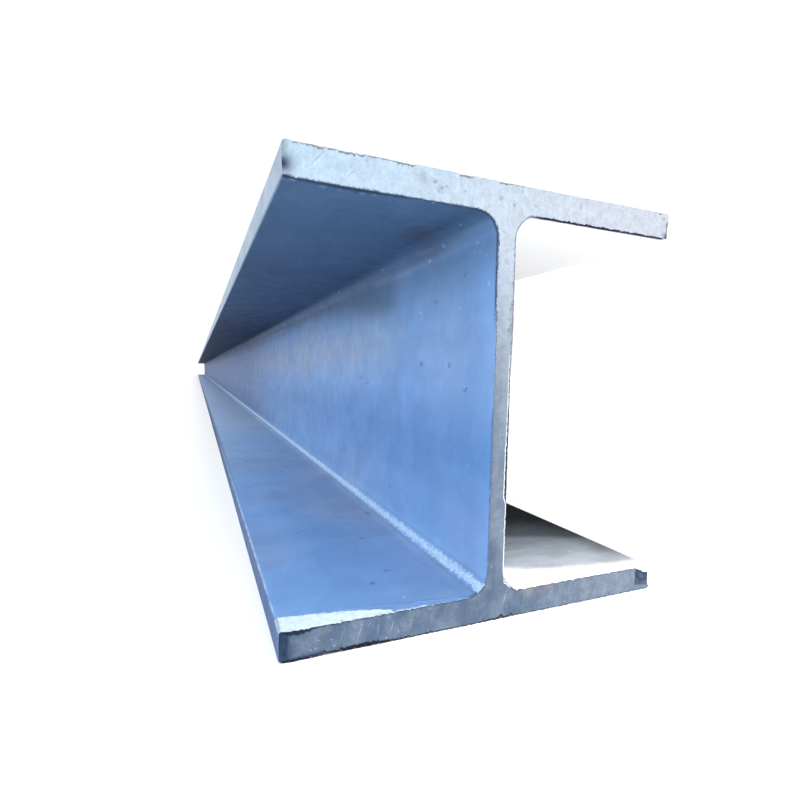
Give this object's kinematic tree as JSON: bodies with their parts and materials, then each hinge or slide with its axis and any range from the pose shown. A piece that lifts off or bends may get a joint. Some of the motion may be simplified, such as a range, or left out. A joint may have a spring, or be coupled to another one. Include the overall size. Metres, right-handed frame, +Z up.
{
  "type": "steel i-beam",
  "caption": "Straight hot-rolled steel H-section with wide parallel flanges, filleted web roots and square sawn ends, for framing and supports.",
  "frame": {"origin": "middle of the underside, halfway along the length", "axes": "+Y along the length, X across the flanges, +Z up with the web upright; the end shown in the picture faces -Y"},
  "size_m": [0.15, 6, 0.15],
  "materials": {
    "rolled_steel": "blue-grey mill scale on the rolled faces, pale bright metal on the sawn ends"
  },
  "bodies": {
    "root": {"h_beam": "rolled_steel"}
  },
  "joints": []
}
